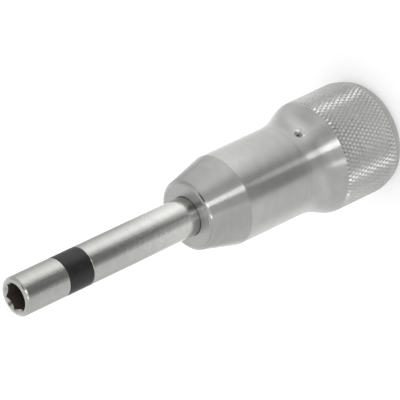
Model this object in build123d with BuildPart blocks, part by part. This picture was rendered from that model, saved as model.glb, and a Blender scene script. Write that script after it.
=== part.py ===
from build123d import *
import os
from math import atan2, cos, pi, radians, sin, sqrt, tan

os.makedirs("parts", exist_ok=True)

# A preset torque screwdriver, standing on its rear face. All sizes are in millimetres.
# The origin is the centre of the rear face, +Z runs along the tool to the tip, and the
# lock screw faces -Y. Heights along Z are worked out from the rear face upwards.

# Clearances
running_gap = 0.05
seat_gap = 0.02

# Grip knob: domed rear edge, knurl, flare, and the bore that takes the spigot
grip_length = 29.65
grip_radius = 14.7
rear_face_radius = 12.6
rear_edge_height = 2.9
rear_edge_bulge = 0.22
knob_floor = 6.0
shoulder_rounding = 3.0
flare_slope = 24.0
flare_hollow_radius = 17.5
seam_chamfer = 0.15

# Diamond knurl: the pitch is square to its grooves, the angle is from the tool's axis
knurl_pitch = 1.025
knurl_angle = 30.0
knurl_depth = 0.42
knurl_backing = 0.6

# Front housing: threaded spigot, barrel, cone and rounded nose
barrel_length = 19.65
barrel_radius = 11.7
cone_length = 10.95
nose_radius = 8.9
nose_rounding = 1.05
spigot_radius = 10.0
spigot_length = 19.15
spigot_chamfer = 0.6
relief_width = 1.2
relief_depth = 0.4
main_bore_radius = 8.0

# Output shaft: length in front of the nose, hexagon socket, journal and stem
shaft_radius = 5.0
shaft_reach = 54.35
tip_rounding = 0.75
hex_across_flats = 6.4
hex_depth = 12.0
hex_turn = 40.0
hex_mouth_radius = 3.85
journal_radius = 4.0
stem_radius = 3.0
stem_overlap = 4.0
stem_chamfer = 0.5

# Black ring let in near the tip
band_setback = 13.1
band_width = 7.4
band_depth = 0.6

# Magnet at the bottom of the socket
magnet_radius = 2.95
magnet_length = 4.0
magnet_setback = 0.1

# Seal, bush and thrust washers in the nose, behind its lip
lip_width = 1.0
lip_clearance = 0.15
seal_section = 0.85
bush_length = 6.2
bush_wall = 1.45
hardened_washer_thickness = 1.0
thrust_washer_thickness = 1.2
washer_edge_gap = 0.2

# Cam, its pin, and the detent balls
cam_thickness = 5.25
cam_edge_gap = 0.2
cam_chamfer = 0.3
pin_radius = 1.0
pin_end_gap = 0.4
ball_radius = 1.5
ball_count = 6
ball_circle_radius = 5.7
dimple_count = 12
dimple_depth = 0.7

# Pressure plate and the dowels that guide it
plate_thickness = 6.4
plate_edge_gap = 0.3
plate_chamfer = 0.3
ball_seat_drop = 0.3
stem_clearance = 0.2
guide_pin_count = 3
guide_pin_radius = 1.0
guide_pin_length = 9.0
guide_circle_radius = 7.9

# Torque spring and the flanged washer that carries it
spring_length = 18.7
spring_wire = 2.0
spring_mean_radius = 5.7
spring_pitch = 3.4
seat_flange = 2.0
seat_boss = 2.5
spring_inner_gap = 0.3

# Adjusting nut in the spigot's bore
nut_thickness = 5.0
nut_chamfer = 0.4
spanner_hole_radius = 0.8
spanner_hole_depth = 2.5
spanner_hole_circle_radius = 5.5

# Lock screw in the flare, and the soft pad under it
lock_setback = 3.05
lock_hole_radius = 1.0
lock_mouth_radius = 1.4
lock_screw_length = 1.0
lock_pad_thickness = 0.35
lock_hex_across_flats = 0.9
lock_hex_depth = 0.6

# Heights along the tool
seam_z = grip_length
barrel_front_z = seam_z + barrel_length
nose_z = barrel_front_z + cone_length
tip_z = nose_z + shaft_reach
spigot_rear_z = seam_z - spigot_length
lip_rear_z = nose_z - lip_width
seal_z = lip_rear_z - seat_gap - seal_section / 2
bush_front_z = seal_z - seal_section / 2 - seat_gap
bush_rear_z = bush_front_z - bush_length
hardened_washer_z = bush_rear_z - hardened_washer_thickness
thrust_washer_z = hardened_washer_z - thrust_washer_thickness
cam_front_z = thrust_washer_z - running_gap
cam_rear_z = cam_front_z - cam_thickness
ball_z = cam_rear_z - ball_radius + dimple_depth
pin_z = (cam_front_z + cam_rear_z + dimple_depth) / 2
plate_front_z = ball_z - ball_seat_drop
plate_rear_z = plate_front_z - plate_thickness
guide_pin_z = plate_front_z - guide_pin_length
spring_rear_z = plate_rear_z - spring_length
nut_front_z = spring_rear_z - seat_flange
nut_rear_z = nut_front_z - nut_thickness
stem_end_z = nut_front_z - stem_overlap
hex_floor_z = tip_z - hex_depth
magnet_front_z = hex_floor_z - magnet_setback
magnet_rear_z = magnet_front_z - magnet_length
band_front_z = tip_z - band_setback
band_rear_z = band_front_z - band_width

# Radii
cam_radius = main_bore_radius - cam_edge_gap
plate_radius = main_bore_radius - plate_edge_gap
washer_radius = main_bore_radius - washer_edge_gap
nut_radius = main_bore_radius - running_gap
shaft_hole_radius = shaft_radius + running_gap
stem_hole_radius = stem_radius + stem_clearance
bush_radius = shaft_hole_radius + bush_wall
seal_pocket_radius = shaft_hole_radius + seal_section + seat_gap
band_inner_radius = shaft_radius - band_depth
spring_boss_radius = spring_mean_radius - spring_wire / 2 - spring_inner_gap
knob_bore_radius = spigot_radius + running_gap
guide_pin_start = 360 / ball_count / 2


def polar(radius, degrees):
    return (radius * cos(radians(degrees)), radius * sin(radians(degrees)))


# The flare is a hollow arc that leaves the seam parallel to the axis, and a straight slope.
# A round shoulder, tangent to the slope and to the grip, carries the front of the knurl.
flare_front_z = seam_z - seam_chamfer
slope = radians(flare_slope)


def hollow_point(angle):
    radius = barrel_radius + flare_hollow_radius * (1 - cos(angle))
    return (radius, flare_front_z - flare_hollow_radius * sin(angle))


hollow_end = hollow_point(slope)
slope_end_radius = grip_radius - shoulder_rounding * (1 - cos(slope))
slope_end_z = hollow_end[1] - (slope_end_radius - hollow_end[0]) / tan(slope)
shoulder_z = slope_end_z - shoulder_rounding * sin(slope)


def grip_surface_radius(z):
    rise = max(0, z - shoulder_z)
    return grip_radius - shoulder_rounding + sqrt(shoulder_rounding**2 - rise**2)


def flare_surface_radius(z):
    depth = flare_front_z - z
    return barrel_radius + flare_hollow_radius - sqrt(flare_hollow_radius**2 - depth**2)


# The nose is rounded off by an arc that runs from its flat face into the cone.
cone_slope = atan2(barrel_radius - nose_radius, cone_length)
nose_turn = pi / 2 - cone_slope
nose_flat_radius = nose_radius - nose_rounding * tan(nose_turn / 2)


def nose_point(angle):
    radius = nose_flat_radius + nose_rounding * sin(angle)
    return (radius, nose_z - nose_rounding * (1 - cos(angle)))


# The knurl is a closed ring of flat facets. Its points lie on a grid of half teeth round
# the grip and half diamonds along it, alternately on a peak and in a groove. The first row
# lies at the grooves' depth, where the knurl runs out over the rear edge. The last row
# ends in a ring of notches against the slope.
knurl_rear_z = rear_edge_height
knurl_front_z = slope_end_z
rear_valley_radius = grip_radius - seat_gap - knurl_depth
front_valley_radius = slope_end_radius - seat_gap - knurl_depth
core_radius = front_valley_radius - knurl_backing / 2
ring_inner_radius = front_valley_radius - knurl_backing
knurl_teeth = round(2 * pi * grip_radius * cos(radians(knurl_angle)) / knurl_pitch)
tooth_width = 2 * pi * grip_radius / knurl_teeth
half_diamond = tooth_width / tan(radians(knurl_angle)) / 2
knurl_rows = round((knurl_front_z - knurl_rear_z) / half_diamond)
knurl_columns = 2 * knurl_teeth


def knurl_point(column, row):
    z = knurl_rear_z + (knurl_front_z - knurl_rear_z) * row / knurl_rows
    on_peak = (column + row) % 2 == 1 and row > 0
    peak_radius = grip_surface_radius(z) - seat_gap
    radius = peak_radius if on_peak else peak_radius - knurl_depth
    return Vector(*polar(radius, 360 * column / knurl_columns), z)


def triangle(a, b, c):
    return Face(Wire.make_polygon([a, b, c]))


def knurl_cell(column, row):
    low = knurl_point(column, row)
    low_next = knurl_point(column + 1, row)
    high = knurl_point(column, row + 1)
    high_next = knurl_point(column + 1, row + 1)
    # The fold of a cell joins its two points in the grooves.
    if (column + row) % 2 == 1:
        return [triangle(low, low_next, high), triangle(low_next, high_next, high)]
    return [triangle(low, low_next, high_next), triangle(low, high_next, high)]


def knurl_end(row):
    rim = Wire.make_polygon([knurl_point(column, row) for column in range(knurl_columns)])
    hole = Wire.make_circle(ring_inner_radius, Plane.XY.offset(knurl_point(0, row).Z))
    return Face(rim, [hole])


def knurled_ring():
    bore = Face.extrude(
        Wire.make_circle(ring_inner_radius, Plane.XY.offset(knurl_rear_z)).edge(),
        (0, 0, knurl_front_z - knurl_rear_z),
    )
    faces = [knurl_end(0), knurl_end(knurl_rows), bore]
    for row in range(knurl_rows):
        for column in range(knurl_columns):
            faces += knurl_cell(column, row)
    return Solid(Shell(faces))


def save(builder, label):
    builder.part.label = label
    export_step(builder.part, "parts/" + label + ".step")


# Front housing, turned in one: spigot, barrel, cone and nose, with grooves for the dowels
with BuildPart() as front_housing:
    with BuildSketch(Plane.XZ):
        with BuildLine():
            ThreePointArc(nose_point(0), nose_point(nose_turn / 2), nose_point(nose_turn))
            Polyline(
                nose_point(0),
                (shaft_radius + lip_clearance, nose_z),
                (shaft_radius + lip_clearance, lip_rear_z),
                (seal_pocket_radius, lip_rear_z),
                (seal_pocket_radius, bush_front_z),
                (bush_radius + seat_gap, bush_front_z),
                (bush_radius + seat_gap, bush_rear_z),
                (main_bore_radius, bush_rear_z),
                (main_bore_radius, spigot_rear_z),
                (spigot_radius - spigot_chamfer, spigot_rear_z),
                (spigot_radius, spigot_rear_z + spigot_chamfer),
                (spigot_radius, seam_z - relief_width),
                (spigot_radius - relief_depth, seam_z - relief_width + relief_depth),
                (spigot_radius - relief_depth, seam_z),
                (barrel_radius - seam_chamfer, seam_z),
                (barrel_radius, seam_z + seam_chamfer),
                (barrel_radius, barrel_front_z),
                nose_point(nose_turn),
            )
        make_face()
    revolve(axis=Axis.Z)
    with BuildSketch(Plane.XY.offset(spigot_rear_z)):
        with PolarLocations(guide_circle_radius, guide_pin_count, start_angle=guide_pin_start):
            Circle(guide_pin_radius + seat_gap)
    extrude(amount=plate_front_z + seat_gap - spigot_rear_z, mode=Mode.SUBTRACT)
save(front_housing, "front_housing")

# Grip knob: turned blank, countersunk screw hole, and the knurled ring on its core
lock_z = seam_z - lock_setback
lock_surface_radius = flare_surface_radius(lock_z)
lock_plane = Plane(origin=(0, -spigot_radius, lock_z), x_dir=(1, 0, 0), z_dir=(0, -1, 0))
lock_wall = lock_surface_radius - spigot_radius
lock_mouth_depth = lock_mouth_radius - lock_hole_radius
with BuildPart() as grip_knob:
    with BuildSketch(Plane.XZ):
        with BuildLine():
            Line((0, 0), (rear_face_radius, 0))
            rear_chord = Line(
                (rear_face_radius, 0), (rear_valley_radius, knurl_rear_z), mode=Mode.PRIVATE
            )
            rear_outward = rear_chord.tangent_at(0).rotate(Axis.Z, -90)
            ThreePointArc(
                rear_chord @ 0, rear_chord @ 0.5 + rear_outward * rear_edge_bulge, rear_chord @ 1
            )
            Polyline(
                (rear_valley_radius, knurl_rear_z),
                (core_radius, knurl_rear_z),
                (core_radius, knurl_front_z),
                (slope_end_radius, knurl_front_z),
                hollow_end,
            )
            ThreePointArc(hollow_end, hollow_point(slope / 2), hollow_point(0))
            Polyline(
                hollow_point(0),
                (barrel_radius - seam_chamfer, seam_z),
                (knob_bore_radius, seam_z),
                (knob_bore_radius, knob_floor),
                (0, knob_floor),
                (0, 0),
            )
        make_face()
    revolve(axis=Axis.Z)
    with BuildSketch(lock_plane):
        Circle(lock_hole_radius)
    extrude(amount=lock_wall * 2, mode=Mode.SUBTRACT)
    with Locations(lock_plane.offset(lock_wall - lock_mouth_depth)):
        Cone(
            lock_hole_radius,
            lock_mouth_radius + lock_mouth_depth,
            lock_mouth_depth * 2,
            align=(Align.CENTER, Align.CENTER, Align.MIN),
            mode=Mode.SUBTRACT,
        )
    add(knurled_ring())
save(grip_knob, "grip_knob")

# Output shaft: hexagon socket and magnet hole in front, groove for the ring, journal, stem
with BuildPart() as output_shaft:
    with BuildSketch(Plane.XZ):
        with BuildLine():
            Polyline(
                (0, stem_end_z),
                (stem_radius - stem_chamfer, stem_end_z),
                (stem_radius, stem_end_z + stem_chamfer),
                (stem_radius, cam_rear_z),
                (journal_radius, cam_rear_z),
                (journal_radius, cam_front_z),
                (shaft_radius, cam_front_z),
                (shaft_radius, band_rear_z),
                (band_inner_radius, band_rear_z),
                (band_inner_radius, band_front_z),
                (shaft_radius, band_front_z),
                (shaft_radius, tip_z),
                (0, tip_z),
                close=True,
            )
        make_face()
    revolve(axis=Axis.Z)
    fillet(faces().sort_by(Axis.Z)[-1].outer_wire().edges(), tip_rounding)
    with BuildSketch(Plane.XY.offset(tip_z)):
        RegularPolygon(hex_across_flats / 2, 6, major_radius=False, rotation=hex_turn)
    extrude(amount=-hex_depth, mode=Mode.SUBTRACT)
    with BuildSketch(Plane.XY.offset(hex_floor_z)):
        Circle(magnet_radius + seat_gap)
    extrude(amount=-magnet_setback - magnet_length, mode=Mode.SUBTRACT)
    mouth_depth = hex_mouth_radius - hex_across_flats / 2
    with Locations((0, 0, tip_z - mouth_depth)):
        Cone(
            hex_across_flats / 2,
            hex_mouth_radius,
            mouth_depth,
            align=(Align.CENTER, Align.CENTER, Align.MIN),
            mode=Mode.SUBTRACT,
        )
    with BuildSketch(Plane.YZ.offset(-shaft_radius)):
        with Locations((0, pin_z)):
            Circle(pin_radius + seat_gap)
    extrude(amount=2 * shaft_radius, mode=Mode.SUBTRACT)
save(output_shaft, "output_shaft")

with BuildPart() as marker_ring:
    with BuildSketch(Plane.XY.offset(band_rear_z + seat_gap)):
        Circle(shaft_radius)
        Circle(band_inner_radius + seat_gap, mode=Mode.SUBTRACT)
    extrude(amount=band_width - 2 * seat_gap)
save(marker_ring, "marker_ring")

with BuildPart() as bit_magnet:
    with BuildSketch(Plane.XY.offset(magnet_rear_z)):
        Circle(magnet_radius)
    extrude(amount=magnet_length)
save(bit_magnet, "bit_magnet")

# Seal, bush and washers, from the nose inwards
with BuildPart() as nose_seal:
    with BuildSketch(Plane.XZ):
        with Locations((shaft_hole_radius + seal_section / 2, seal_z)):
            Circle(seal_section / 2)
    revolve(axis=Axis.Z)
save(nose_seal, "nose_seal")

with BuildPart() as nose_bush:
    with BuildSketch(Plane.XY.offset(bush_rear_z)):
        Circle(bush_radius)
        Circle(shaft_hole_radius, mode=Mode.SUBTRACT)
    extrude(amount=bush_length)
save(nose_bush, "nose_bush")

with BuildPart() as hardened_washer:
    with BuildSketch(Plane.XY.offset(hardened_washer_z)):
        Circle(washer_radius)
        Circle(shaft_radius + lip_clearance, mode=Mode.SUBTRACT)
    extrude(amount=hardened_washer_thickness)
save(hardened_washer, "hardened_washer")

with BuildPart() as thrust_washer:
    with BuildSketch(Plane.XY.offset(thrust_washer_z)):
        Circle(washer_radius)
        Circle(shaft_radius + lip_clearance, mode=Mode.SUBTRACT)
    extrude(amount=thrust_washer_thickness)
save(thrust_washer, "thrust_washer")

# Cam with its ring of dimples, and the pin through cam and journal
with BuildPart() as drive_cam:
    with BuildSketch(Plane.XY.offset(cam_rear_z)):
        Circle(cam_radius)
        Circle(journal_radius + seat_gap, mode=Mode.SUBTRACT)
    extrude(amount=cam_thickness)
    chamfer(edges().filter_by(GeomType.CIRCLE).group_by(SortBy.RADIUS)[-1], cam_chamfer)
    with Locations((0, 0, ball_z)):
        with PolarLocations(ball_circle_radius, dimple_count):
            Sphere(ball_radius + running_gap, mode=Mode.SUBTRACT)
    with BuildSketch(Plane.YZ.offset(-cam_radius)):
        with Locations((0, pin_z)):
            Circle(pin_radius + seat_gap)
    extrude(amount=2 * cam_radius, mode=Mode.SUBTRACT)
save(drive_cam, "drive_cam")

pin_half_length = cam_radius - pin_end_gap
with BuildPart() as cam_pin:
    with BuildSketch(Plane.YZ.offset(-pin_half_length)):
        with Locations((0, pin_z)):
            Circle(pin_radius)
    extrude(amount=2 * pin_half_length)
save(cam_pin, "cam_pin")

# Detent balls, each in its seat in the pressure plate
for index in range(ball_count):
    with BuildPart() as clutch_ball:
        with Locations((*polar(ball_circle_radius, index * 360 / ball_count), ball_z)):
            Sphere(ball_radius)
    save(clutch_ball, f"clutch_ball_{index + 1}")

with BuildPart() as pressure_plate:
    with BuildSketch(Plane.XY.offset(plate_rear_z)):
        Circle(plate_radius)
    extrude(amount=plate_thickness)
    chamfer(edges().filter_by(GeomType.CIRCLE), plate_chamfer)
    with BuildSketch(Plane.XY.offset(plate_rear_z)):
        Circle(stem_hole_radius)
        with PolarLocations(guide_circle_radius, guide_pin_count, start_angle=guide_pin_start):
            Circle(guide_pin_radius + running_gap)
    extrude(amount=plate_thickness, mode=Mode.SUBTRACT)
    with Locations((0, 0, ball_z)):
        with PolarLocations(ball_circle_radius, ball_count):
            Sphere(ball_radius + seat_gap, mode=Mode.SUBTRACT)
save(pressure_plate, "pressure_plate")

# Dowels, half in the housing's bore wall and half in the plate's rim
for index in range(guide_pin_count):
    pin_angle = guide_pin_start + index * 360 / guide_pin_count
    with BuildPart() as guide_pin:
        with BuildSketch(Plane.XY.offset(guide_pin_z)):
            with Locations(polar(guide_circle_radius, pin_angle)):
                Circle(guide_pin_radius)
        extrude(amount=guide_pin_length)
    save(guide_pin, f"guide_pin_{index + 1}")

# Torque spring with ends ground flat, between its seat and the plate
coil_start_z = spring_rear_z - spring_wire
coil_length = spring_length + 2 * spring_wire
with BuildPart() as torque_spring:
    with BuildLine():
        coil = Helix(
            pitch=spring_pitch,
            height=coil_length,
            radius=spring_mean_radius,
            center=(0, 0, coil_start_z),
        )
    with BuildSketch(coil ^ 0):
        Circle(spring_wire / 2)
    sweep(is_frenet=True)
    split(bisect_by=Plane.XY.offset(spring_rear_z), keep=Keep.TOP)
    split(bisect_by=Plane.XY.offset(plate_rear_z), keep=Keep.BOTTOM)
save(torque_spring, "torque_spring")

with BuildPart() as spring_seat:
    with BuildSketch(Plane.XY.offset(nut_front_z)):
        Circle(plate_radius)
    extrude(amount=seat_flange)
    with BuildSketch(Plane.XY.offset(spring_rear_z)):
        Circle(spring_boss_radius)
    extrude(amount=seat_boss)
    with BuildSketch(Plane.XY.offset(nut_front_z)):
        Circle(stem_hole_radius)
    extrude(amount=seat_flange + seat_boss, mode=Mode.SUBTRACT)
save(spring_seat, "spring_seat")

with BuildPart() as adjusting_nut:
    with BuildSketch(Plane.XY.offset(nut_rear_z)):
        Circle(nut_radius)
        Circle(stem_radius + running_gap, mode=Mode.SUBTRACT)
    extrude(amount=nut_thickness)
    chamfer(edges().filter_by(GeomType.CIRCLE).group_by(SortBy.RADIUS)[-1], nut_chamfer)
    with BuildSketch(Plane.XY.offset(nut_rear_z)):
        with PolarLocations(spanner_hole_circle_radius, 2):
            Circle(spanner_hole_radius)
    extrude(amount=spanner_hole_depth, mode=Mode.SUBTRACT)
save(adjusting_nut, "adjusting_nut")

# Lock screw and its pad, on the screw hole's axis
with BuildPart() as lock_pad:
    with BuildSketch(lock_plane.offset(seat_gap)):
        Circle(lock_hole_radius - running_gap)
    extrude(amount=lock_pad_thickness)
save(lock_pad, "lock_pad")

with BuildPart() as lock_screw:
    with BuildSketch(lock_plane.offset(2 * seat_gap + lock_pad_thickness)):
        Circle(lock_hole_radius - seat_gap)
    extrude(amount=lock_screw_length)
    with BuildSketch(lock_plane.offset(2 * seat_gap + lock_pad_thickness + lock_screw_length)):
        RegularPolygon(lock_hex_across_flats / 2, 6, major_radius=False)
    extrude(amount=-lock_hex_depth, mode=Mode.SUBTRACT)
save(lock_screw, "lock_screw")
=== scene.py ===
"""Looks of the preset torque screwdriver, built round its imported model.

Sizes are named in millimetres, as on a drawing, and become metres where a mesh is made.
The tool's axis is Z, its rear face lies at zero, and its tip points up.
"""

import math
import random
from collections import namedtuple

import bmesh
import bpy
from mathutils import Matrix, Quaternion, Vector


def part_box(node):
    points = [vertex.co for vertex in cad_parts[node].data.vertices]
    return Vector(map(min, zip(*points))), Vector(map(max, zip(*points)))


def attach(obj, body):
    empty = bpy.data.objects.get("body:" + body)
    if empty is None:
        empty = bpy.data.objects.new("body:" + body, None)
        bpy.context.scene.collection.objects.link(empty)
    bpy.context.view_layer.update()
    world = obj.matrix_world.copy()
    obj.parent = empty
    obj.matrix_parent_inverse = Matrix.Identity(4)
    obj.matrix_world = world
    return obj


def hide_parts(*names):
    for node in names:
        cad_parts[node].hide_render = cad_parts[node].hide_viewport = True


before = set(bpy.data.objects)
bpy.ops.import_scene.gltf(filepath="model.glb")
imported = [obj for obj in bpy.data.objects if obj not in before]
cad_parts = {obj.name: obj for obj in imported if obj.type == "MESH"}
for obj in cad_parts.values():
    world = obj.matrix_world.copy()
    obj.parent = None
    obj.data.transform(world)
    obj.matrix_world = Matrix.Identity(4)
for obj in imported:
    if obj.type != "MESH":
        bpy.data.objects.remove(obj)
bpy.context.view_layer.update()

MM = 0.001
MICRON = 0.000001
wear_seed = 7
rng = random.Random(wear_seed)


def box_mm(name):
    low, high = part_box(name)
    return low / MM, high / MM


# Heights and radii read from the frame

_, knob_high = box_mm("grip_knob")
housing_low, housing_high = box_mm("front_housing")
shaft_low, shaft_high = box_mm("output_shaft")
ring_low, ring_high = box_mm("marker_ring")
bush_low, bush_high = box_mm("nose_bush")
_, seal_high = box_mm("nose_seal")
cam_low, cam_high = box_mm("drive_cam")
pin_low, pin_high = box_mm("cam_pin")
magnet_low, _ = box_mm("bit_magnet")
_, plate_high = box_mm("pressure_plate")
screw_low, screw_high = box_mm("lock_screw")

seam_z = knob_high.z
nose_z = housing_high.z
tip_z = shaft_high.z
spigot_rear_z = housing_low.z
barrel_radius = housing_high.x
shaft_radius = shaft_high.x
bush_radius = bush_high.x
lock_z = (screw_low.z + screw_high.z) / 2
pin_z = (pin_low.z + pin_high.z) / 2
pin_radius = (pin_high.z - pin_low.z) / 2

# Sizes that no box gives. First what all pieces share: the gap left to a neighbour, tolerances,
# how far a cutter reaches past a face, and how roundings are stepped and shaded.

seat_gap = 0.02
touch = 0.01
shortest_edge = 0.0005
smallest_radius = 0.000001
overrun = 1.0
rounding_step = math.radians(12)
shading_guard = 0.12
sharp_edge = math.radians(25)

# Front housing

barrel_length = 19.65
nose_corner_radius = 8.9
nose_rounding = 1.05
barrel_edge_rounding = 0.35
seam_edge = 0.05
lip_width = 1.0
lip_radius = 5.08
main_bore_radius = 8.0
spigot_radius = 10.0
spigot_chamfer = 0.6
relief_width = 1.2
relief_depth = 0.4
guide_circle_radius = 7.9
guide_pin_radius = 1.0
guide_pin_turns = (30, 150, 270)

# Grip knob, and the lock screw's hole in it

rear_face_radius = 12.6
rear_edge_height = 2.9
rear_edge_bulge = 0.22
edge_guard = 0.15
knob_floor = 6.0
knob_bore_radius = 10.05
flare_slope = math.radians(24)
flare_hollow_radius = 17.5
shoulder_rounding = 3.0
flare_start = 0.15
grip_radius = 14.7
knurl_depth = 0.42
knurl_teeth = 78
knurl_rows = 16
run_out_rows = 2
run_out_slope = math.radians(15)
tooth_flat = 0.17
peak_wear = 0.035
lock_hole_radius = 1.0
lock_mouth_radius = 1.4
mouth_rounding = 0.3
rim_width = 0.25
rim_slope = math.radians(30)

# Output shaft, and the black ring's groove in it

tip_rounding = 0.75
hex_across_flats = 6.4
hex_depth = 12.0
hex_turn = math.radians(40)
hex_mouth_radius = 3.85
magnet_hole_radius = 2.97
journal_radius = 4.0
stem_radius = 3.0
stem_chamfer = 0.5
band_depth = 0.6
band_edge_rounding = 0.18
small_edge = 0.08

# What tells painted faces apart: how far down the socket's mouth stays bright above the painted
# shade inside it, and how much the flare's wall near the screw's hole faces along Y

socket_lit_depth = 1.0
wall_facing = -0.9


# Outlines


def arc(centre, radius, start, end, steps):
    """Points from one angle to another. Angle zero points away from the axis, and 90 up it."""
    turns = [math.radians(start + (end - start) * k / steps) for k in range(steps + 1)]
    return [(centre[0] + radius * math.cos(t), centre[1] + radius * math.sin(t)) for t in turns]


def rounded(corners, closed=True):
    """An outline from corners (radius, height, rounding). Each rounding is an arc of short steps.

    A point just outside each arc keeps the shading of the straight stretches straight.
    """
    points = []
    count = len(corners)
    for index, (r, z, rounding) in enumerate(corners):
        here = Vector((r, z))
        ends = not closed and index in (0, count - 1)
        if rounding == 0 or ends:
            points.append(here)
            continue
        before = Vector(corners[index - 1][:2])
        after = Vector(corners[(index + 1) % count][:2])
        to_before = (before - here).normalized()
        to_after = (after - here).normalized()
        half = to_before.angle(to_after) / 2
        reach = rounding / math.tan(half)
        middle = here + (to_before + to_after).normalized() * rounding / math.sin(half)
        first = here + to_before * reach - middle
        turn = first.angle_signed(here + to_after * reach - middle)
        steps = max(2, math.ceil(abs(turn) / rounding_step))
        if (before - here).length > reach + 2 * shading_guard:
            points.append(here + to_before * (reach + shading_guard))
        for k in range(steps + 1):
            t = -turn * k / steps
            turned_first = Vector(
                (
                    first.x * math.cos(t) - first.y * math.sin(t),
                    first.x * math.sin(t) + first.y * math.cos(t),
                )
            )
            points.append(middle + turned_first)
        if (after - here).length > reach + 2 * shading_guard:
            points.append(here + to_after * (reach + shading_guard))
    return [tuple(p) for p in points]


# Meshes


def new_object(name, mesh):
    made = bpy.data.objects.new(name, mesh)
    bpy.context.scene.collection.objects.link(made)
    return made


def ring_of(work, radius, z, angles):
    """One turn of vertices, or a single one on the axis."""
    if radius < smallest_radius:
        return [work.verts.new((0, 0, z * MM))]
    return [
        work.verts.new((radius * MM * math.cos(a), radius * MM * math.sin(a), z * MM))
        for a in angles
    ]


def join_rings(work, lower, upper, smooth=True):
    """Faces between two turns. Their normals point outwards where the outline climbs."""
    count = max(len(lower), len(upper))
    for k in range(count):
        n = (k + 1) % count
        if len(lower) == 1:
            face = work.faces.new((lower[0], upper[n], upper[k]))
        elif len(upper) == 1:
            face = work.faces.new((lower[k], lower[n], upper[0]))
        else:
            face = work.faces.new((lower[k], lower[n], upper[n], upper[k]))
        face.smooth = smooth


def even_angles(steps):
    return [2 * math.pi * k / steps for k in range(steps)]


def finished(name, work):
    """A mesh object from the work, with edges that are sharp where its faces meet at an angle."""
    bmesh.ops.recalc_face_normals(work, faces=work.faces)
    mesh = bpy.data.meshes.new(name)
    work.to_mesh(mesh)
    work.free()
    mesh.set_sharp_from_angle(angle=sharp_edge)
    return new_object(name, mesh)


def turned(name, outline, steps=240):
    """A ring or rod from a closed outline, turned round the axis."""
    work = bmesh.new()
    angles = even_angles(steps)
    rings = [ring_of(work, r, z, angles) for r, z in outline]
    for low, high in zip(rings, rings[1:] + rings[:1]):
        if len(low) > 1 or len(high) > 1:
            join_rings(work, low, high)
    return finished(name, work)


def aimed(piece, start, end, turn=0.0):
    """Lays what was turned round Z along another line, from its start."""
    aim = (Vector(end) - Vector(start)).to_track_quat("Z", "Y")
    spin = Quaternion((0, 0, 1), turn)
    for vertex in piece.data.vertices:
        vertex.co = aim @ (spin @ vertex.co) + Vector(start) * MM
    return piece


def rod(name, radius, start, end, sides=48, turn=0.0):
    """A plain cutter from one point to another, in millimetres."""
    length = (Vector(end) - Vector(start)).length
    outline = [(0, 0), (radius, 0), (radius, length), (0, length)]
    return aimed(turned(name, outline, sides), start, end, turn)


def cut(piece, *cutters):
    """Takes the cutters' shapes out of the piece, and deletes them and any shred of a face."""
    for cutter in cutters:
        modifier = piece.modifiers.new("cut", "BOOLEAN")
        modifier.operation = "DIFFERENCE"
        modifier.solver = "EXACT"
        modifier.object = cutter
    graph = bpy.context.evaluated_depsgraph_get()
    result = bpy.data.meshes.new_from_object(piece.evaluated_get(graph))
    work = bmesh.new()
    work.from_mesh(result)
    bmesh.ops.dissolve_degenerate(work, dist=shortest_edge * MM, edges=work.edges)
    work.to_mesh(result)
    work.free()
    piece.modifiers.clear()
    piece.data = result
    for cutter in cutters:
        bpy.data.objects.remove(cutter)
    result.set_sharp_from_angle(angle=sharp_edge)


def dress(piece, body, slot, *nodes):
    """Gives the piece its body, and hides the nodes that it replaces. Its slot is not used."""
    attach(piece, body)
    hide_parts(*nodes)


# Front housing: spigot, barrel, cone and nose, turned in one


def make_front_housing():
    barrel_front_z = seam_z + barrel_length
    bush_bore_radius = bush_radius + seat_gap
    outline = rounded(
        [
            (main_bore_radius, bush_low.z, 0),
            (main_bore_radius, spigot_rear_z, 0),
            (spigot_radius - spigot_chamfer, spigot_rear_z, 0),
            (spigot_radius, spigot_rear_z + spigot_chamfer, 0),
            (spigot_radius, seam_z - relief_width, 0),
            (spigot_radius - relief_depth, seam_z - relief_width + relief_depth, 0),
            (spigot_radius - relief_depth, seam_z, 0),
            (barrel_radius - seam_edge, seam_z, 0),
            (barrel_radius, seam_z + seam_edge, 0),
            (barrel_radius, barrel_front_z, barrel_edge_rounding),
            (nose_corner_radius, nose_z, nose_rounding),
            (lip_radius, nose_z, small_edge),
            (lip_radius, nose_z - lip_width, 0),
            (seal_high.x + seat_gap, nose_z - lip_width, 0),
            (seal_high.x + seat_gap, bush_high.z, 0),
            (bush_bore_radius, bush_high.z, 0),
            (bush_bore_radius, bush_low.z, 0),
        ]
    )
    piece = turned("housing_turned", outline)
    groove_top = plate_high.z + seat_gap
    grooves = []
    for degrees in guide_pin_turns:
        x = guide_circle_radius * math.cos(math.radians(degrees))
        y = guide_circle_radius * math.sin(math.radians(degrees))
        groove = rod(
            "groove",
            guide_pin_radius + seat_gap,
            (x, y, spigot_rear_z - overrun),
            (x, y, groove_top),
        )
        grooves.append(groove)
    cut(piece, *grooves)
    dress(piece, "handle", "handle_metal", "front_housing")
    return piece


# Grip knob: domed rear edge, diamond knurl, flare, and the screw hole

hollow_top_z = seam_z - flare_start
hollow_end_radius = barrel_radius + flare_hollow_radius * (1 - math.cos(flare_slope))
hollow_end_z = hollow_top_z - flare_hollow_radius * math.sin(flare_slope)
slope_end_radius = grip_radius - shoulder_rounding * (1 - math.cos(flare_slope))
slope_end_z = hollow_end_z - (slope_end_radius - hollow_end_radius) / math.tan(flare_slope)
shoulder_z = slope_end_z - shoulder_rounding * math.sin(flare_slope)
row_height = (slope_end_z - rear_edge_height) / knurl_rows
run_out_z = rear_edge_height - run_out_rows * row_height

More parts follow.
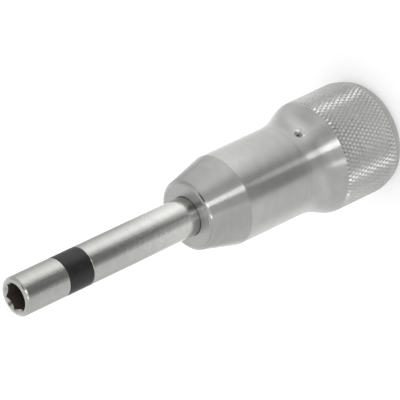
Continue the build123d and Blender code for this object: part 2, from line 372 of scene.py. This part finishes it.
rear_valley_radius = grip_radius - seat_gap - knurl_depth
dome_chord = Vector((rear_valley_radius - rear_face_radius, rear_edge_height))
dome_radius = (dome_chord.length**2 / 4 + rear_edge_bulge**2) / (2 * rear_edge_bulge)
dome_outward = Vector((dome_chord.y, -dome_chord.x)).normalized()
dome_centre = (
    Vector((rear_face_radius, 0)) + dome_chord / 2 - dome_outward * (dome_radius - rear_edge_bulge)
)


def dome_surface_radius(z):
    return dome_centre.x + math.sqrt(dome_radius**2 - (z - dome_centre.y) ** 2)


def grip_surface_radius(z):
    """The surface through the teeth's tops: the domed edge, the grip and its shoulder."""
    if z < rear_edge_height:
        return dome_surface_radius(z)
    over_edge = rear_valley_radius + (z - rear_edge_height) * math.tan(run_out_slope)
    rise = max(0.0, z - shoulder_z)
    plain_radius = grip_radius - seat_gap - shoulder_rounding
    return min(over_edge, plain_radius + math.sqrt(shoulder_rounding**2 - rise**2))


def knurl_vertex(work, column, row, raised, wear=0.0):
    """A point of the knurl. Columns are half teeth round the grip, rows are half diamonds.

    The teeth run out over the domed edge.
    """
    z = rear_edge_height + row_height * row
    depth = knurl_depth * min(1.0, (row + run_out_rows) / (run_out_rows + 1))
    radius = grip_surface_radius(z) - (wear if raised else depth)
    angle = math.pi * column / knurl_teeth
    return work.verts.new(
        (radius * MM * math.cos(angle), radius * MM * math.sin(angle), z * MM)
    )


def add_diamond(work, grooves, column, row):
    """One tooth: four flanks from its groove corners up to a small flat top.

    Returns its right and left top corners. Half a tooth ends the band with them.
    """
    columns = 2 * knurl_teeth
    wear = peak_wear * rng.random()
    corners = [
        grooves.get(((column + 1) % columns, row)),
        grooves.get((column, row + 1)),
        grooves.get(((column - 1) % columns, row)),
        grooves.get((column, row - 1)),
    ]
    places = [(tooth_flat, 0), (0, tooth_flat), (-tooth_flat, 0), (0, -tooth_flat)]
    tops = [
        knurl_vertex(work, column + c, row + r, True, wear) if corner else None
        for (c, r), corner in zip(places, corners)
    ]
    for k in range(4):
        n = (k + 1) % 4
        if corners[k] and corners[n]:
            work.faces.new((corners[k], corners[n], tops[n], tops[k]))
    work.faces.new([top for top in tops if top])
    return tops[0], tops[2]


def add_knurl(work):
    """The knurled band. Returns its rearmost ring and the notched edge at its front."""
    columns = 2 * knurl_teeth
    first_row = -run_out_rows
    grooves = {}
    for row in range(first_row, knurl_rows + 1):
        for column in range(columns):
            if row == first_row or (column + row) % 2 == 1:
                grooves[(column, row)] = knurl_vertex(work, column, row, False)
    for column in range(0, columns, 2):
        low = grooves[(column, first_row)]
        peak_foot = grooves[(column, first_row + 1)]
        work.faces.new((grooves[((column - 1) % columns, first_row)], low, peak_foot))
        work.faces.new((low, grooves[(column + 1, first_row)], peak_foot))
    front = []
    for row in range(first_row + 1, knurl_rows + 1):
        for column in range(columns):
            if (column + row) % 2 == 0:
                right, left = add_diamond(work, grooves, column, row)
                if row == knurl_rows:
                    front += [left, right, grooves[(column + 1, row)]]
    rear = [grooves[(column, first_row)] for column in range(columns)]
    return rear, front


def screw_hole():
    """A cutter for the lock screw's hole, with a small chamfer and a flatter rim."""
    fall = hollow_top_z - lock_z
    wall_radius = barrel_radius + flare_hollow_radius - math.sqrt(flare_hollow_radius**2 - fall**2)
    inside = knob_bore_radius - overrun
    depth = wall_radius - inside
    rim_drop = rim_width * math.tan(rim_slope)
    chamfer_radius = lock_mouth_radius - rim_width
    chamfer = chamfer_radius - lock_hole_radius
    outline = rounded(
        [
            (0, 0, 0),
            (lock_hole_radius, 0, 0),
            (lock_hole_radius, depth - rim_drop - chamfer, mouth_rounding),
            (chamfer_radius, depth - rim_drop, mouth_rounding),
            (lock_mouth_radius + 2 * rim_width, depth + 2 * rim_drop, 0),
            (0, depth + 2 * rim_drop, 0),
        ]
    )
    cutter = turned("hole", outline, steps=64)
    return aimed(cutter, (0, -inside, lock_z), (0, -inside - depth, lock_z))


def make_grip_knob():
    work = bmesh.new()
    rear_ring, front_ring = add_knurl(work)
    first = math.degrees(math.asin(-dome_centre.y / dome_radius))
    last = math.degrees(math.asin((run_out_z - dome_centre.y) / dome_radius))
    rear_outline = [(0, 0), (rear_face_radius - edge_guard, 0)]
    rear_outline += arc(dome_centre, dome_radius, first, last, steps=6)[:-1]
    rear_angles = even_angles(2 * knurl_teeth)
    rings = [ring_of(work, r, z, rear_angles) for r, z in rear_outline] + [rear_ring]
    for low, high in zip(rings, rings[1:]):
        join_rings(work, low, high)

    hollow_centre = (barrel_radius + flare_hollow_radius, hollow_top_z)
    slope_degrees = math.degrees(flare_slope)
    front_outline = [(slope_end_radius, slope_end_z)]
    front_outline += arc(
        hollow_centre, flare_hollow_radius, 180 + slope_degrees, 180, steps=24
    )
    front_outline += [
        (barrel_radius, seam_z - seam_edge),
        (barrel_radius - seam_edge, seam_z),
        (knob_bore_radius, seam_z),
        (knob_bore_radius, knob_floor),
        (0, knob_floor),
    ]
    front_angles = [math.atan2(v.co.y, v.co.x) for v in front_ring]
    rings = [ring_of(work, r, z, front_angles) for r, z in front_outline]
    join_rings(work, front_ring, rings[0], smooth=False)
    for low, high in zip(rings, rings[1:]):
        join_rings(work, low, high)
    piece = finished("knob_turned", work)

    cut(piece, screw_hole())
    dress(piece, "handle", "grip_metal", "grip_knob")
    return piece


# Output shaft: socket, groove for the black ring, journal and stem


def make_output_shaft():
    band_floor = shaft_radius - band_depth
    outline = rounded(
        [
            (0, shaft_low.z, 0),
            (stem_radius - stem_chamfer, shaft_low.z, 0),
            (stem_radius, shaft_low.z + stem_chamfer, 0),
            (stem_radius, cam_low.z, 0),
            (journal_radius, cam_low.z, 0),
            (journal_radius, cam_high.z, 0),
            (shaft_radius, cam_high.z, small_edge),
            (shaft_radius, ring_low.z - seat_gap, band_edge_rounding),
            (band_floor, ring_low.z - seat_gap, 0),
            (band_floor, ring_high.z + seat_gap, 0),
            (shaft_radius, ring_high.z + seat_gap, band_edge_rounding),
            (shaft_radius, tip_z, tip_rounding),
            (0, tip_z, 0),
        ],
        closed=False,
    )
    piece = turned("shaft_turned", outline)
    hex_floor_z = tip_z - hex_depth
    hex_corner_radius = hex_across_flats / math.sqrt(3)
    mouth_depth = hex_mouth_radius - hex_across_flats / 2
    socket = rod(
        "socket",
        hex_corner_radius,
        (0, 0, hex_floor_z),
        (0, 0, tip_z + overrun),
        sides=6,
        turn=hex_turn,
    )
    mouth_outline = [
        (0, tip_z - 2 * mouth_depth),
        (hex_mouth_radius - 2 * mouth_depth, tip_z - 2 * mouth_depth),
        (hex_mouth_radius + mouth_depth, tip_z + mouth_depth),
        (0, tip_z + mouth_depth),
    ]
    mouth = turned("mouth", mouth_outline, steps=96)
    magnet_hole = rod(
        "magnet_hole",
        magnet_hole_radius,
        (0, 0, magnet_low.z),
        (0, 0, hex_floor_z + overrun / 2),
    )
    pin_hole = rod(
        "pin_hole",
        pin_radius + seat_gap,
        (-shaft_radius - overrun, 0, pin_z),
        (shaft_radius + overrun, 0, pin_z),
    )
    cut(piece, socket, mouth, magnet_hole, pin_hole)
    dress(piece, "shaft", "shaft_steel", "output_shaft")
    return piece


def make_marker_ring():
    inner = shaft_radius - band_depth + seat_gap
    outline = rounded(
        [
            (inner, ring_low.z, 0),
            (shaft_radius, ring_low.z, band_edge_rounding),
            (shaft_radius, ring_high.z, band_edge_rounding),
            (inner, ring_high.z, 0),
        ]
    )
    piece = turned("ring_turned", outline)
    dress(piece, "shaft", "marker_black", "marker_ring")
    return piece


# Materials

turned_mottle = 0.03
roughness_spread = 0.15
grain_scale = 2200.0
line_wander = 250.0
cloud_scale = (260.0, 260.0, 500.0)
quarter_turn = 0.25

# Painted shade at the shaft's root: the heights between which it clears, and its darkest factor

root_painted_shade = (nose_z + 0.4, nose_z + 2.6, 0.62)


def new_material(name):
    material = bpy.data.materials.new(name)
    material.use_nodes = True
    nodes = material.node_tree.nodes
    nodes.clear()
    output = nodes.new("ShaderNodeOutputMaterial")
    shader = nodes.new("ShaderNodeBsdfPrincipled")
    material.node_tree.links.new(shader.outputs["BSDF"], output.inputs["Surface"])
    return material, shader


def node(material, kind, **inputs):
    """A new node, with values for the inputs of those names."""
    made = material.node_tree.nodes.new(kind)
    for name, value in inputs.items():
        made.inputs[name.replace("_", " ")].default_value = value
    return made


def link(material, source, target):
    material.node_tree.links.new(source, target)


def noise(material, scale, detail=2.0, roughness=0.5):
    """Noise in the object's own coordinates, with a scale along X, Y and Z."""
    place = node(material, "ShaderNodeTexCoord")
    mapping = node(material, "ShaderNodeMapping")
    mapping.inputs["Scale"].default_value = scale
    link(material, place.outputs["Object"], mapping.inputs["Vector"])
    made = node(material, "ShaderNodeTexNoise", Scale=1.0, Detail=detail, Roughness=roughness)
    link(material, mapping.outputs["Vector"], made.inputs["Vector"])
    return made.outputs["Fac"]


def spread(material, source, low, high, start=0.3, end=0.7):
    """Spreads the source over the range from low to high.

    It starts and ends at the values given, or else at the middle of a noise.
    """
    made = node(material, "ShaderNodeMapRange")
    made.inputs["From Min"].default_value = start
    made.inputs["From Max"].default_value = end
    made.inputs["To Min"].default_value = low
    made.inputs["To Max"].default_value = high
    link(material, source, made.inputs["Value"])
    return made.outputs["Result"]


def tint(material, shader, colour, factor):
    """Base colour, lightened and darkened by a factor near one.

    A mix node's sockets go by number, because several of them share each name.
    """
    mix = node(material, "ShaderNodeMix")
    mix.data_type = "RGBA"
    mix.blend_type = "MULTIPLY"
    mix.inputs[0].default_value = 1.0
    mix.inputs[6].default_value = (*colour, 1.0)
    link(material, factor, mix.inputs[7])
    link(material, mix.outputs[2], shader.inputs["Base Color"])


def bump(material, shader, height, distance, under=None):
    """Bumps on the surface, or on top of other bumps."""
    made = node(material, "ShaderNodeBump", Strength=1.0, Distance=distance)
    link(material, height, made.inputs["Height"])
    if under:
        link(material, under.outputs["Normal"], made.inputs["Normal"])
    link(material, made.outputs["Normal"], shader.inputs["Normal"])
    return made


def under_painted_shade(material, factor, low, high, darkest):
    """Darkens a factor at a low height as painted shade, and lets it clear up to a high one."""
    place = node(material, "ShaderNodeTexCoord")
    parts = node(material, "ShaderNodeSeparateXYZ")
    link(material, place.outputs["Object"], parts.inputs["Vector"])
    painted_shade = spread(material, parts.outputs["Z"], darkest, 1.0, low * MM, high * MM)
    made = node(material, "ShaderNodeMath")
    made.operation = "MULTIPLY"
    link(material, factor, made.inputs[0])
    link(material, painted_shade, made.inputs[1])
    return made.outputs["Value"]


def uneven_roughness(material, shader, source, roughness):
    """Roughness that wanders with a noise."""
    low = roughness * (1 - roughness_spread)
    high = roughness * (1 + roughness_spread)
    link(material, spread(material, source, low, high), shader.inputs["Roughness"])


def turned_metal(name, colour, roughness, stretch, line_scale, line_depth, grain_depth, painted_shade=None):
    """Turned metal: fine lines round the axis over a fine grain.

    Its highlights spread along the axis, by the stretch.
    """
    material, shader = new_material(name)
    shader.inputs["Metallic"].default_value = 1.0
    shader.inputs["Anisotropic"].default_value = stretch
    shader.inputs["Anisotropic Rotation"].default_value = quarter_turn
    tangent = node(material, "ShaderNodeTangent")
    tangent.direction_type = "RADIAL"
    tangent.axis = "Z"
    link(material, tangent.outputs["Tangent"], shader.inputs["Tangent"])
    line_size = (line_wander, line_wander, line_scale)
    lines = noise(material, line_size, detail=4.0, roughness=0.65)
    cloud = noise(material, cloud_scale, detail=3.0)
    shade = spread(material, cloud, 1 - turned_mottle, 1 + turned_mottle)
    # Painted shade: the shaft's colour darkens towards its root at the nose's face
    if painted_shade:
        shade = under_painted_shade(material, shade, *painted_shade)
    tint(material, shader, colour, shade)
    uneven_roughness(material, shader, lines, roughness)
    grains = noise(material, (grain_scale,) * 3, detail=3.0)
    grain_bumps = bump(material, shader, grains, grain_depth)
    bump(material, shader, lines, line_depth, under=grain_bumps)
    return material


def plain(name, colour, roughness, metallic=0.0, mottle=0.08, scale=900.0, depth=4 * MICRON):
    """A plain finish with a slight mottle."""
    material, shader = new_material(name)
    shader.inputs["Metallic"].default_value = metallic
    cloud = noise(material, (scale,) * 3)
    tint(material, shader, colour, spread(material, cloud, 1 - mottle, 1 + mottle))
    uneven_roughness(material, shader, cloud, roughness)
    bump(material, shader, cloud, depth)
    return material


handle_colour = (0.60, 0.60, 0.59)
handle_lines = {"line_scale": 7500.0, "line_depth": 0.7 * MICRON}

handle_metal = turned_metal(
    "handle_metal", handle_colour, 0.2, stretch=0.9, grain_depth=16 * MICRON, **handle_lines
)
face_metal = turned_metal(
    "face_metal", handle_colour, 0.36, stretch=0.7, grain_depth=6 * MICRON, **handle_lines
)
knurl_metal = plain("knurl_metal", (0.66, 0.66, 0.65), 0.24, metallic=1.0, mottle=0.05)
mouth_metal = plain("mouth_metal", (0.95, 0.95, 0.94), 0.28, metallic=1.0, mottle=0.03)
shaft_metal = turned_metal(
    "shaft_metal",
    (0.68, 0.68, 0.65),
    0.16,
    stretch=0.4,
    line_scale=6000.0,
    line_depth=1.5 * MICRON,
    grain_depth=40 * MICRON,
    painted_shade=root_painted_shade,
)
# Painted shade: a dark matt colour inside the socket below its mouth, where the bore lies in
# shadow
socket_painted_shade = plain("socket_painted_shade", (0.07, 0.055, 0.048), 0.45)
marker_black = plain("marker_black", (0.016, 0.015, 0.015), 0.27)
seal_black = plain("seal_black", (0.012, 0.012, 0.012), 0.6)
bronze = plain("bearing_bronze", (0.45, 0.27, 0.1), 0.45, metallic=1.0)
inner_steel = plain("inner_steel", (0.3, 0.3, 0.31), 0.3, metallic=1.0)
ball_steel = plain("ball_steel", (0.6, 0.6, 0.61), 0.1, metallic=1.0, mottle=0.02)
spring_steel = plain("spring_steel", (0.18, 0.18, 0.19), 0.35, metallic=1.0)
magnet_plating = plain("magnet_plating", (0.3, 0.29, 0.28), 0.25, metallic=1.0)
screw_steel = plain("screw_steel", (0.5, 0.5, 0.5), 0.5, metallic=1.0)
pad_nylon = plain("pad_nylon", (0.7, 0.68, 0.62), 0.5)

node_materials = {
    "bit_magnet": magnet_plating,
    "nose_seal": seal_black,
    "nose_bush": bronze,
    "thrust_washer": bronze,
    "torque_spring": spring_steel,
    "lock_screw": screw_steel,
    "lock_pad": pad_nylon,
}
for name, cad_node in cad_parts.items():
    usual = ball_steel if name.startswith("clutch_ball") else inner_steel
    cad_node.data.materials.clear()
    cad_node.data.materials.append(node_materials.get(name, usual))


def paint(piece, material, *others):
    """Gives the piece its material, and each other one to the faces that its test picks."""
    piece.data.materials.clear()
    piece.data.materials.append(material)
    for other, _ in others:
        piece.data.materials.append(other)
    for face in piece.data.polygons:
        face.material_index = 0
        for number, (_, picks) in enumerate(others, 1):
            if picks(face.center / MM, face.normal):
                face.material_index = number


def on_knurl(centre, _):
    outside = math.hypot(centre.x, centre.y) > rear_face_radius
    return outside and centre.z < slope_end_z + touch


def in_mouth(centre, normal):
    off_centre = math.hypot(centre.x, centre.z - lock_z)
    near = centre.y < -knob_bore_radius and off_centre < 2 * lock_mouth_radius
    return near and normal.y > wall_facing


def on_nose_face(centre, _):
    return centre.z > nose_z - touch


# Picks the socket's inside below its bright mouth, which gets the painted shade
def in_socket(centre, _):
    radius = math.hypot(centre.x, centre.y)
    inside = radius < hex_mouth_radius
    return inside and magnet_low.z - touch < centre.z < tip_z - socket_lit_depth


paint(make_front_housing(), handle_metal, (face_metal, on_nose_face))
paint(make_grip_knob(), handle_metal, (knurl_metal, on_knurl), (mouth_metal, in_mouth))
paint(make_output_shaft(), shaft_metal, (socket_painted_shade, in_socket))
paint(make_marker_ring(), marker_black)


# Camera, at the photograph's view of the tool

camera_azimuth = -32.83
camera_elevation = 35.13
camera_roll = -115.29
camera_distance = 971.7
camera_aim = Vector((1.80, -1.16, 54.65))
sensor_width = 36.0
lens_length = 360.0


def camera_direction(azimuth, elevation):
    """From the object towards a camera there. Azimuth 0 looks along +Y."""
    a = math.radians(azimuth)
    e = math.radians(elevation)
    return Vector((math.sin(a) * math.cos(e), -math.cos(a) * math.cos(e), math.sin(e)))


def make_camera():
    data = bpy.data.cameras.new("camera")
    data.sensor_width = sensor_width
    data.lens = lens_length
    data.clip_start = 10 * MM
    data.clip_end = 20000 * MM
    camera = new_object("camera", data)
    back = camera_direction(camera_azimuth, camera_elevation)
    camera.location = (camera_aim + back * camera_distance) * MM
    camera.rotation_mode = "QUATERNION"
    roll = Quaternion((0, 0, 1), math.radians(camera_roll))
    camera.rotation_quaternion = (-back).to_track_quat("-Z", "Y") @ roll
    bpy.context.scene.camera = camera


make_camera()


# Floor: pale, with the object's shadow. Metal mirrors a card just under it instead.

floor_half_width = 3000.0
floor_white = 0.86
floor_lift = 0.28


def make_floor():
    half = floor_half_width * MM
    mesh = bpy.data.meshes.new("floor")
    corners = [(-half, -half, 0), (half, -half, 0), (half, half, 0), (-half, half, 0)]
    mesh.from_pydata(corners, [], [(0, 1, 2, 3)])
    floor = new_object("floor", mesh)
    material, shader = new_material("floor_pale")
    shader.inputs["Base Color"].default_value = (floor_white, floor_white, floor_white, 1.0)
    shader.inputs["Roughness"].default_value = 1.0
    shader.inputs["Specular IOR Level"].default_value = 0.0
    shader.inputs["Emission Color"].default_value = (1.0, 1.0, 1.0, 1.0)
    path = node(material, "ShaderNodeLightPath")
    lift = node(material, "ShaderNodeMath")
    lift.operation = "MULTIPLY"
    lift.inputs[1].default_value = floor_lift
    link(material, path.outputs["Is Camera Ray"], lift.inputs[0])
    link(material, lift.outputs["Value"], shader.inputs["Emission Strength"])
    floor.data.materials.append(material)
    floor.visible_glossy = False


make_floor()


# Light: even and white all round. Metal mirrors a white studio, with a dark gap where the
# camera stands and a narrow lit strip in it. The lower half of the studio is a low ring of
# brightness, with a round card in front of it that is clear between its middle and its outer
# part. The barrel mirrors the low ring through the clear part, the shaft the card's outer
# part, cone and flare the level ring, and the nose's face the high one.
# A ring lists the brightness by the turn, which is the degrees round the tool from the
# camera's azimuth, clockwise seen from above.

low_ring = [
    (-170, 1.15),
    (-140, 0.92),
    (-90, 0.85),
    (-65, 0.73),
    (-40, 0.57),
    (-20, 0.30),
    (-10, 0.24),
    (-3, 0.30),
    (4, 0.22),
    (26, 0.20),
    (33, 0.23),
    (39, 0.50),
    (46, 0.58),
    (60, 0.64),
    (100, 0.66),
    (115, 0.78),
    (130, 0.90),
    (150, 0.94),
    (170, 0.90),
]
card_outer = [
    (-170, 0.66),
    (-150, 0.52),
    (-130, 0.50),
    (-100, 0.80),
    (-65, 1.10),
    (-50, 0.98),
    (-35, 0.60),
    (-20, 0.20),
    (12, 0.15),
    (30, 0.30),
    (45, 0.62),
    (100, 0.68),
    (130, 0.59),
    (150, 0.62),
    (170, 0.80),
]
card_middle = [
    (-170, 0.92),
    (-150, 0.98),
    (-130, 1.12),
    (-95, 1.10),
    (-75, 0.92),
    (-60, 0.85),
    (60, 0.85),
    (80, 0.92),
    (110, 0.92),
    (170, 0.90),
]
card_glow = [
    (-170, 0.40),
    (-20, 0.38),
    (60, 0.38),
    (90, 0.20),
    (120, 0.15),
    (150, 0.40),
    (170, 0.45),
]
level_ring = [
    (-170, 1.00),
    (-150, 0.77),
    (-130, 0.60),
    (-108, 0.49),
    (-88, 0.47),
    (-70, 0.55),
    (-50, 0.70),
    (-29, 0.52),
    (-13, 0.68),
    (15, 0.60),
    (24, 0.58),
    (32, 0.74),
    (42, 0.65),
    (60, 0.64),
    (100, 0.68),
    (125, 0.67),
    (145, 0.74),
    (170, 0.90),
]
high_ring = [
    (-170, 0.66),
    (-150, 0.58),
    (-130, 0.45),
    (-105, 0.38),
    (-70, 0.46),
    (-50, 0.72),
    (-20, 0.80),
    (40, 0.66),
    (60, 0.46),
    (105, 0.44),
    (140, 0.60),
    (170, 0.66),
]
overhead = 0.62
brightest = 1.4

# The climbs, in degrees over the horizon, where one ring gives way to the next

low_to_level = (-34, -26)
level_to_high = (26, 31)
high_to_overhead = (38, 43)

# The card: its edges are distances from the tool's axis, and its core and rim have one
# brightness and one factor for all turns

card_radius = 290.0
card_drop = 0.05
card_core = 0.55
card_core_edge = (17.0, 22.0)
card_middle_edge = (40.0, 29.0)
card_outer_edge = (76.0, 86.0)
card_glow_edge = (98.0, 122.0)
card_rim = 0.6
card_rim_edge = (190.0, 230.0)
strip_gap = 8.0
strip_gap_blur = 2.0

# Lamps and a dark screen: middle turn, half width, the climb where each begins and ends, and
# what it adds to the room's brightness or multiplies it by

patch_side_blur = 2
patch_end_blur = 3

Patch = namedtuple("Patch", ["middle", "half_width", "bottom", "top", "light"])
strip = Patch(-2.9, 6.2, -30, 43, 1.15)
small_lamp = Patch(33.0, 5.0, 13, 45, 1.4)
screen = Patch(-33.0, 18.0, 22, 60, 0.03)


class Tree:
    """Short calls to build a shader tree of numbers."""

    def __init__(self, tree):
        self.tree = tree

    def add(self, kind, **settings):
        made = self.tree.nodes.new(kind)
        for name, value in settings.items():
            setattr(made, name, value)
        return made

    def put(self, source, target):
        if isinstance(source, (int, float)):
            target.default_value = source
        else:
            self.tree.links.new(source, target)

    def math(self, operation, *values):
        made = self.add("ShaderNodeMath", operation=operation)
        for value, target in zip(values, made.inputs):
            self.put(value, target)
        return made.outputs["Value"]

    def step(self, value, start, end, low=0.0, high=1.0, kind="SMOOTHSTEP"):
        """A step from low to high as the value goes from start to end."""
        made = self.add("ShaderNodeMapRange", interpolation_type=kind)
        self.put(value, made.inputs["Value"])
        self.put(start, made.inputs["From Min"])
        self.put(end, made.inputs["From Max"])
        self.put(low, made.inputs["To Min"])
        self.put(high, made.inputs["To Max"])
        return made.outputs["Result"]

    def blend(self, factor, first, second):
        """The first number where the factor is zero, and the second where it is one."""
        made = self.add("ShaderNodeMix", data_type="FLOAT")
        self.put(factor, made.inputs[0])
        self.put(first, made.inputs[2])
        self.put(second, made.inputs[3])
        return made.outputs[0]

    def split(self, vector):
        made = self.add("ShaderNodeSeparateXYZ")
        self.put(vector, made.inputs["Vector"])
        return made.outputs["X"], made.outputs["Y"], made.outputs["Z"]

    def turn(self, x, y):
        """Degrees round the tool from the camera's azimuth."""
        to_camera = camera_direction(camera_azimuth, 0)
        camera_angle = math.atan2(to_camera.y, to_camera.x)
        turn = self.math("SUBTRACT", camera_angle, self.math("ARCTAN2", y, x))
        return self.math("DEGREES", self.math("WRAP", turn, math.pi, -math.pi))

    def ring(self, turn, stops):
        """Brightness by the turn round the tool."""
        made = self.add("ShaderNodeValToRGB")
        elements = made.color_ramp.elements
        while len(elements) < len(stops):
            elements.new(0.5)
        for element, (degrees, value) in zip(elements, stops):
            element.position = (degrees + 180) / 360
            element.color = (value / brightest,) * 3 + (1.0,)
        self.put(self.step(turn, -180, 180, kind="LINEAR"), made.inputs["Fac"])
        return self.math("MULTIPLY", made.outputs["Color"], brightest)

    def window(self, turn, climb, patch, outside):
        """The patch's light inside it and another value outside it, with soft edges."""
        aside = self.math("ABSOLUTE", self.math("SUBTRACT", turn, patch.middle))
        across = self.step(
            aside, patch.half_width + patch_side_blur, patch.half_width - patch_side_blur
        )
        over = self.step(climb, patch.bottom - patch_end_blur, patch.bottom + patch_end_blur)
        under = self.step(climb, patch.top + patch_end_blur, patch.top - patch_end_blur)
        standing = self.math("MULTIPLY", over, under)
        return self.blend(self.math("MULTIPLY", across, standing), outside, patch.light)


def make_table_card():
    """A round card just under the tool that shows in reflections alone.

    It is clear between its middle and its outer part. In the lit strip's turn it is clear
    further out, to the end of the glow.
    """
    work = bmesh.new()
    bmesh.ops.create_circle(work, cap_ends=True, segments=96, radius=card_radius * MM)
    card = finished("table_card", work)
    card.location.z = -card_drop * MM
    material = bpy.data.materials.new("table_card")
    material.use_nodes = True
    material.node_tree.nodes.clear()
    tree = Tree(material.node_tree)
    x, y, _ = tree.split(tree.add("ShaderNodeNewGeometry").outputs["Position"])
    turn = tree.turn(x, y)
    away = tree.math("SQRT", tree.math("ADD", tree.math("POWER", x, 2), tree.math("POWER", y, 2)))
    away = tree.math("DIVIDE", away, MM)

    past_core = tree.step(away, *card_core_edge)
    middle = tree.blend(past_core, card_core, tree.ring(turn, card_middle))
    fading = tree.step(away, *card_glow_edge, 1, 0)
    glow = tree.math("MULTIPLY", tree.ring(turn, card_glow), fading)
    rim = tree.step(away, *card_rim_edge, 1, card_rim)
    outer = tree.math("ADD", tree.math("MULTIPLY", tree.ring(turn, card_outer), rim), glow)
    outside = tree.step(away, *card_outer_edge)
    emission = tree.add("ShaderNodeEmission")
    tree.put(tree.blend(outside, middle, outer), emission.inputs["Strength"])

    inside = tree.step(away, *card_middle_edge)
    aside = tree.math("ABSOLUTE", tree.math("SUBTRACT", turn, strip.middle))
    beside_strip = tree.step(aside, strip_gap - strip_gap_blur, strip_gap + strip_gap_blur)
    past_glow = tree.step(away, *card_glow_edge)
    solid = tree.math("MULTIPLY", outside, tree.math("MAXIMUM", beside_strip, past_glow))
    clear = tree.add("ShaderNodeBsdfTransparent")
    mix = tree.add("ShaderNodeMixShader")
    tree.put(tree.math("MAXIMUM", inside, solid), mix.inputs["Fac"])
    tree.put(clear.outputs["BSDF"], mix.inputs[1])
    tree.put(emission.outputs["Emission"], mix.inputs[2])
    output = tree.add("ShaderNodeOutputMaterial")
    tree.put(mix.outputs["Shader"], output.inputs["Surface"])
    card.data.materials.append(material)
    for rays in ("camera", "diffuse", "transmission", "shadow"):
        setattr(card, "visible_" + rays, False)


def make_world():
    world = bpy.data.worlds.new("studio")
    world.use_nodes = True
    bpy.context.scene.world = world
    tree = Tree(world.node_tree)
    background = world.node_tree.nodes["Background"]
    background.inputs["Strength"].default_value = 1.0

    x, y, z = tree.split(tree.add("ShaderNodeTexCoord").outputs["Generated"])
    turn = tree.turn(x, y)
    climb = tree.math("DEGREES", tree.math("ARCSINE", z))

    low = tree.ring(turn, low_ring)
    level = tree.ring(turn, level_ring)
    high = tree.ring(turn, high_ring)
    rising = tree.blend(tree.step(climb, *low_to_level), low, level)
    middle = tree.blend(tree.step(climb, *level_to_high), rising, high)
    seen = tree.blend(tree.step(climb, *high_to_overhead), middle, overhead)
    seen = tree.math("MULTIPLY", seen, tree.window(turn, climb, screen, 1.0))
    for lamp in (strip, small_lamp):
        seen = tree.math("ADD", seen, tree.window(turn, climb, lamp, 0.0))

    glossy = tree.add("ShaderNodeLightPath").outputs["Is Glossy Ray"]
    light = tree.blend(glossy, 1.0, seen)
    tree.put(light, background.inputs["Color"])
    bpy.context.scene.view_settings.view_transform = "Standard"


make_table_card()
make_world()
